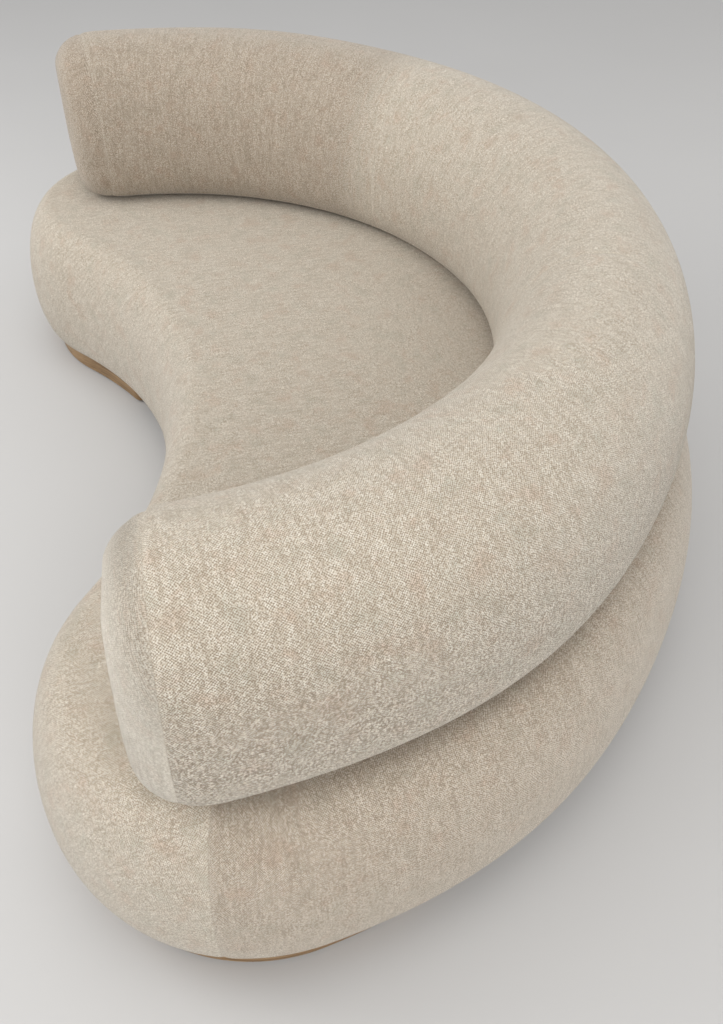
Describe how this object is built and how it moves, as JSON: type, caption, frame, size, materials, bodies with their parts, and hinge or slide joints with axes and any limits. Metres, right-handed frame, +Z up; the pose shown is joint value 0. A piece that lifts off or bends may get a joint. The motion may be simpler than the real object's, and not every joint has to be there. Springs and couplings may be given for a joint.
{
  "type": "curved sofa",
  "caption": "Kidney-shaped upholstered sofa on low round wooden feet, with a thick round bolster that curves round the seat as its back and both arms.",
  "frame": {"origin": "on the floor, under the middle of the overall length and depth", "axes": "+X along the sofa towards the arm on the left of a person who sits on it, +Y to the back, +Z up"},
  "size_m": [2.337, 1.4248, 0.78],
  "materials": {
    "boucle": "chunky beige and cream boucle weave, matte",
    "foam": "open-cell upholstery foam",
    "felt": "dense wool felt",
    "steel": "zinc plated",
    "oak": "satin oil on oak",
    "webbing": "elastic woven webbing",
    "lining": "spun-bonded lining, matte",
    "beech": "plain sanded beech",
    "plywood": "plain sanded birch plywood"
  },
  "bodies": {
    "root": {"apron": "plywood", "back_bolt_1": "steel", "back_bolt_2": "steel", "back_bolt_3": "steel", "back_bolt_4": "steel", "back_cover": "boucle", "back_foam": "foam", "back_former_1": "plywood", "back_former_2": "plywood", "back_former_3": "plywood", "back_former_4": "plywood", "back_former_5": "plywood", "back_former_6": "plywood", "back_former_7": "plywood", "back_plate": "plywood", "back_riser_1": "beech", "back_riser_2": "beech", "back_riser_3": "beech", "back_riser_4": "beech", "back_skin": "plywood", "back_tee_nut_1": "steel", "back_tee_nut_2": "steel", "back_tee_nut_3": "steel", "back_tee_nut_4": "steel", "back_top_rail": "plywood", "base_panel": "plywood", "cross_rail_1": "plywood", "cross_rail_2": "plywood", "cross_rail_3": "plywood", "cross_rail_4": "plywood", "deck_ring": "plywood", "dust_cover": "lining", "foot_back": "oak", "foot_glide_back": "felt", "foot_glide_left": "felt", "foot_glide_right": "felt", "foot_left": "oak", "foot_right": "oak", "foot_screw_back_1": "steel", "foot_screw_back_2": "steel", "foot_screw_left_1": "steel", "foot_screw_left_2": "steel", "foot_screw_right_1": "steel", "foot_screw_right_2": "steel", "long_rail_1": "plywood", "long_rail_2": "plywood", "long_rail_3": "plywood", "seat_cover": "boucle", "seat_foam": "foam", "webbing_1": "webbing", "webbing_2": "webbing", "webbing_3": "webbing", "webbing_4": "webbing", "webbing_5": "webbing", "webbing_6": "webbing", "webbing_7": "webbing", "webbing_8": "webbing"}
  },
  "joints": []
}
